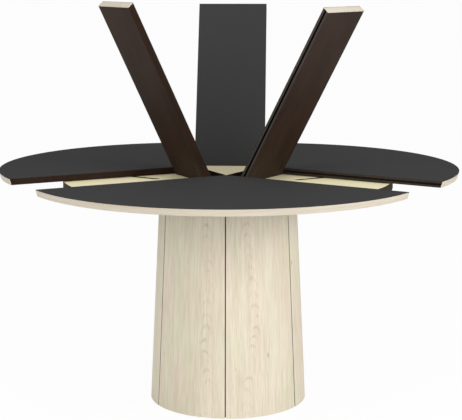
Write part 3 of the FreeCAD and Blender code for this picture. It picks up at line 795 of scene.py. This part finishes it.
# %% [markdown]
# ## Drum panels
# Six curved panels make the slightly conical drum, with a dark shadow line between neighbours. A cone
# could be cut in six, but a spun section has the wall's thickness from the start: a plane stands on edge,
# its upper edge is pulled in for the taper, and it is spun round the drum's axis. Two bisect cuts then
# trim the ends to the width of the seam. Faces that look along the drum's girth, into a seam, show the
# panel's sealed edge.

# %% Sizes of a panel
panel_low, panel_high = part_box("drum_panel_1")


def reach_at(node, height):
    """Least and greatest distance from the axis of a solid's points at one height."""
    distances = [math.hypot(point.x, point.y) for point in points(node) if abs(point.z - height) < 0.1 * MM]
    return min(distances), max(distances)


foot_inner, foot_outer = reach_at("drum_panel_1", panel_low.z)
top_outer = reach_at("drum_panel_1", panel_high.z)[1]
print("drum radius", round(foot_outer, 4), "at the foot and", round(top_outer, 4), "at the top")

# %% One panel
SEAM_WIDTH = 3 * MM
PANEL_STEPS = 48
PANEL_ANGLE = math.radians(60)
PANEL_EASED = 0.8 * MM
SPIN_SPARE = math.radians(1)
SIDEWAYS = 0.8


def drum_panel():
    middle = (panel_low.z + panel_high.z) / 2
    piece = section("panel", (foot_inner, foot_outer), (panel_low.z, panel_high.z))
    edit_corners(piece, lambda point: point.z > middle)
    bpy.ops.transform.translate(value=(top_outer - foot_outer, 0, 0))
    spin_section(piece, PANEL_ANGLE + 2 * SPIN_SPARE, PANEL_STEPS)
    for side in (1, -1):
        away = Vector((-math.sin(PANEL_ANGLE / 2), side * math.cos(PANEL_ANGLE / 2), 0))
        edit(piece)
        bpy.ops.mesh.bisect(plane_co=-away * SEAM_WIDTH / 2, plane_no=away, clear_outer=True, use_fill=True)
        leave_edit(piece)
    return piece


panel = drum_panel()
ease(panel, PANEL_EASED)
for face in panel.data.polygons:
    outward = Vector((face.center.x, face.center.y, 0)).normalized()
    face.material_index = int(abs(face.normal.cross(outward).z) > SIDEWAYS)
print("panel", [round(value, 4) for value in panel.dimensions])

# %% [markdown]
# The sheets of veneer run up the drum. Each is shifted sideways by its own amount, in metres, so that the
# line of arches stands at another place on every panel.

# %% Six panels
PANEL_SHIFTS = (0.046, 0.021, -0.034, 0.012, -0.016, -0.07)


def up_the_drum(point):
    return (point.z, math.atan2(point.y, point.x) * foot_outer, foot_outer - math.hypot(point.x, point.y))


for number, shift in enumerate(PANEL_SHIFTS, 1):
    node = "drum_panel_%d" % number
    angles = [math.atan2(point.y, point.x) for point in points(node)]
    if max(angles) - min(angles) > math.pi:
        angles = [angle % (2 * math.pi) for angle in angles]
    piece = copy_of(panel, "veneered_panel_%d" % number)
    lay_grain(piece, up_the_drum, (TIMBER_STEP * number, shift, 0))
    set_in_place(piece, Matrix.Rotation((min(angles) + max(angles)) / 2, 4, "Z"))
    fit(piece, (veneer, panel_edge), "pedestal", node)
bpy.data.meshes.remove(panel.data)
print("drum panels", len(PANEL_SHIFTS))

# %% [markdown]
# ## Floor, light and camera
# The table stands on a white studio floor. The floor and the sky look white to the camera and in
# reflections, and the floor still darkens a little where the table shades it. A bright sky alone could
# give that white, but it would wash out the object, so its light on the table is set apart from how it
# looks.

# %% Floor and sky
FLOOR_SIZE = 160.0
FLOOR_WHITE = 0.96
SKY_LIGHT = 0.42


def seen_directly(tree):
    """1 for rays that show the background: from the camera, off a glossy surface or through glass."""
    path = add(tree, "LightPath", {})
    seen = path.outputs["Is Camera Ray"]
    for other in ("Is Glossy Ray", "Is Transmission Ray"):
        seen = add(tree, "Math", {0: seen, 1: path.outputs[other]}, operation="MAXIMUM").outputs["Value"]
    return seen


take(None)
bpy.ops.mesh.primitive_plane_add(size=FLOOR_SIZE)
floor = bpy.context.object
floor.name = "studio_floor"
floor_finish, tree = new_finish("white_studio_floor")
white = add(tree, "BsdfDiffuse", {"Color": linear("#f8f8f6")})
glow = add(tree, "Emission", {"Color": linear("#ffffff"), "Strength": 1.0})
amount = add(tree, "Math", {0: seen_directly(tree), 1: FLOOR_WHITE}, operation="MULTIPLY")
shown = add(tree, "MixShader", {0: amount.outputs["Value"], 1: white.outputs["BSDF"],
                                2: glow.outputs["Emission"]})
add(tree, "OutputMaterial", {"Surface": shown.outputs["Shader"]})
floor.data.materials.append(floor_finish)

sky = bpy.data.worlds.new("studio_sky")
sky.use_nodes = True
tree = sky.node_tree
tree.nodes.clear()
strength = add(tree, "MapRange", {"Value": seen_directly(tree), "To Min": SKY_LIGHT, "To Max": 1.0})
light = add(tree, "Background", {"Color": linear("#ffffff"), "Strength": strength.outputs["Result"]})
add(tree, "OutputWorld", {"Surface": light.outputs["Background"]})
bpy.context.scene.world = sky
print("floor", FLOOR_SIZE, "sky light", SKY_LIGHT)

# %% [markdown]
# Four large soft lamps stand in for the studio. The strongest, to the right, gives the pale edges their
# brighter side. Two weaker ones fill from the left and from beside the camera. The last hangs high in
# front and reaches the plate between the sectors, which the leaning leaves would otherwise leave too
# dark.

# %% Lamps
LAMPS = (("key_right", (3.9, -2.6, 2.0), (0, 0, 0.6), 2.4, 110),
         ("fill_left", (-3.4, -3.0, 1.7), (0, 0, 0.6), 2.6, 57),
         ("front", (0.4, -4.6, 2.1), (0, 0, 0.8), 2.4, 32),
         ("high_front", (0.1, -2.0, 3.4), (0, 0, 0.72), 1.6, 36))
for name, place, aim, size, watts in LAMPS:
    take(None)
    bpy.ops.object.light_add(type="AREA", location=place)
    lamp = bpy.context.object
    lamp.name = name
    lamp.data.shape = "DISK"
    lamp.data.size = size
    lamp.data.energy = watts
    lamp.rotation_euler = (Vector(aim) - Vector(place)).to_track_quat("-Z", "Y").to_euler()
    print("lamp", name, watts, "W")

# %% [markdown]
# The camera was found by matching points of the photograph with the same points of the solids: it looks
# from the front, a little to the right and about ten degrees down, through a long lens.

# %% Camera
CAMERA_PLACE = (0.1784, -4.1882, 1.339)
CAMERA_TILT = math.radians(80.11)
CAMERA_TURN = math.radians(2.31)
CAMERA_LENS_MM = 104.6
SENSOR_WIDTH_MM = 36.0
take(None)
bpy.ops.object.camera_add(location=CAMERA_PLACE, rotation=(CAMERA_TILT, 0, CAMERA_TURN))
camera = bpy.context.object
camera.name = "photo_camera"
camera.data.sensor_fit = "HORIZONTAL"
camera.data.sensor_width = SENSOR_WIDTH_MM
camera.data.lens = CAMERA_LENS_MM
bpy.context.scene.camera = camera
bpy.context.scene.view_settings.view_transform = "Standard"
print("camera looks across", round(math.degrees(camera.data.angle), 1), "degrees")

# %% [markdown]
# ## End
# At the end nothing is left selected.

# %% Nothing selected
take(None)
